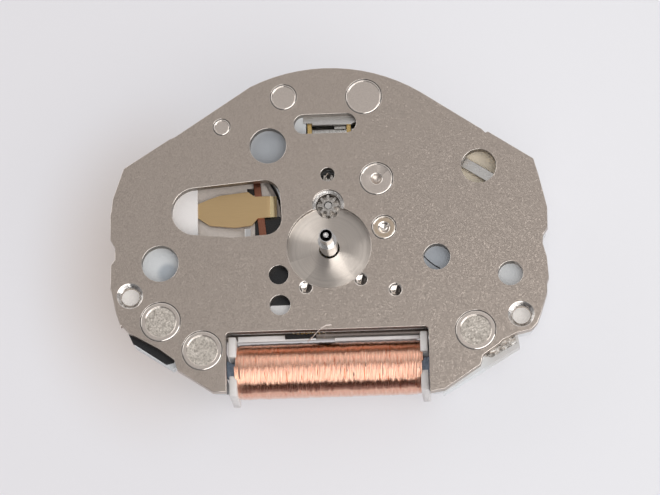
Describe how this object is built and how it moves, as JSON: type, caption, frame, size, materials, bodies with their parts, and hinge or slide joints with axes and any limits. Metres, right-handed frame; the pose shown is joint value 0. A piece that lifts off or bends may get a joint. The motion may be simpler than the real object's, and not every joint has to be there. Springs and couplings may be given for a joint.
{
  "type": "quartz watch movement",
  "caption": "Small quartz watch movement seen from its dial side: a flat bell-shaped metal plate over a plastic frame, with a copper coil in a cut-out and stepped hand arbors at its centre.",
  "frame": {"origin": "centre of the hand arbors in the dial seat, which is the plate's top face", "axes": "+Z towards the dial, +X towards the stem, +Y away from the coil"},
  "size_m": [0.0178, 0.0138, 0.0051],
  "materials": {
    "plate": "nickel-plated brass, finely blasted",
    "white_plastic": "moulded, slightly translucent",
    "black_plastic": "moulded",
    "clear_plastic": "moulded, translucent",
    "solder": "rough, bright",
    "battery_steel": "satin",
    "leaf_brass": "satin",
    "wheel_brass": "satin",
    "copper": "enamelled copper wire, glossy",
    "polished_steel": "polished",
    "sheet_steel": "rolled",
    "core_steel": "annealed, bluish",
    "magnet": "sintered",
    "board": "coated"
  },
  "bodies": {
    "movement": {"main_plate": "plate", "plastic_frame": "white_plastic", "screw_pillars": "plate", "cover_post": "plate", "clamp_post": "plate", "locating_pin": "plate", "bridge_post": "plate", "setting_stud": "plate", "black_spacer": "black_plastic", "solder_pad": "solder", "battery": "battery_steel", "battery_leaf": "leaf_brass", "contact_strip": "copper", "contact_lug": "polished_steel", "battery_clamp": "sheet_steel", "coil_core": "core_steel", "coil_bobbin": "clear_plastic", "inner_winding": "copper", "coil_winding": "copper", "stator": "core_steel", "train_bridge": "sheet_steel", "bridge_screws": "polished_steel", "back_screws": "polished_steel", "circuit_board": "board", "circuit_chip": "black_plastic", "quartz_crystal": "battery_steel", "crystal_clip": "sheet_steel", "crystal_leads": "leaf_brass", "circuit_cover": "sheet_steel", "lever_pins": "polished_steel"},
    "rotor": {"rotor_magnet": "magnet", "rotor_pinion": "polished_steel"},
    "fifth_gear": {"fifth_wheel": "wheel_brass", "fifth_pinion": "polished_steel"},
    "seconds_gear": {"seconds_wheel": "wheel_brass", "seconds_arbor": "polished_steel"},
    "third_gear": {"third_wheel": "wheel_brass", "third_pinion": "polished_steel"},
    "centre_gear": {"centre_wheel": "wheel_brass", "minute_pipe": "polished_steel"},
    "minute_gear": {"minute_wheel": "sheet_steel", "minute_pinion": "polished_steel"},
    "setting_gear": {"setting_wheel": "wheel_brass"},
    "clutch": {"sliding_pinion": "polished_steel"},
    "lever": {"setting_lever": "sheet_steel"},
    "fork": {"yoke": "sheet_steel"}
  },
  "joints": [
    {"name": "rotor_spin", "type": "hinge", "parent": "movement", "child": "rotor", "pos_m": [0.00267, -0.00189, -0.001], "axis": [0, 0, 1], "continuous": true},
    {"name": "fifth_spin", "type": "hinge", "parent": "movement", "child": "fifth_gear", "pos_m": [0.00128, -0.00141, -0.001], "axis": [0, 0, 1], "continuous": true},
    {"name": "seconds_spin", "type": "hinge", "parent": "movement", "child": "seconds_gear", "pos_m": [0, 0, -0.001], "axis": [0, 0, 1], "continuous": true},
    {"name": "third_spin", "type": "hinge", "parent": "movement", "child": "third_gear", "pos_m": [-0.00096, -0.00167, -0.001], "axis": [0, 0, 1], "continuous": true},
    {"name": "centre_spin", "type": "hinge", "parent": "movement", "child": "centre_gear", "pos_m": [0, 0, -0.001], "axis": [0, 0, 1], "continuous": true},
    {"name": "minute_spin", "type": "hinge", "parent": "movement", "child": "minute_gear", "pos_m": [0, 0.00177, -0.001], "axis": [0, 0, 1], "continuous": true},
    {"name": "setting_spin", "type": "hinge", "parent": "movement", "child": "setting_gear", "pos_m": [0.00226, 0.00075, -0.001], "axis": [0, 0, 1], "continuous": true},
    {"name": "clutch_slide", "type": "slide", "parent": "movement", "child": "clutch", "axis": [-1, 0, 0], "range_m": [0, 0.00035]},
    {"name": "lever_turn", "type": "hinge", "parent": "movement", "child": "lever", "pos_m": [0.00705, 0.00205, -0.001], "axis": [0, 0, 1], "range_deg": [0, 13]},
    {"name": "yoke_turn", "type": "hinge", "parent": "movement", "child": "fork", "pos_m": [0.0053, 0.0021, -0.001], "axis": [0, 0, 1], "range_deg": [-9.7, 0]}
  ],
  "couplings": [
    {"joint": "fifth_spin", "follows": "rotor_spin", "ratio": -0.16667},
    {"joint": "seconds_spin", "follows": "rotor_spin", "ratio": 0.033333},
    {"joint": "third_spin", "follows": "rotor_spin", "ratio": -0.0044444},
    {"joint": "centre_spin", "follows": "rotor_spin", "ratio": 0.00055556},
    {"joint": "minute_spin", "follows": "rotor_spin", "ratio": -0.00018519},
    {"joint": "setting_spin", "follows": "rotor_spin", "ratio": 0.00021368},
    {"joint": "lever_turn", "follows": "clutch_slide", "rad_per_m": 648},
    {"joint": "yoke_turn", "follows": "clutch_slide", "rad_per_m": -478}
  ]
}
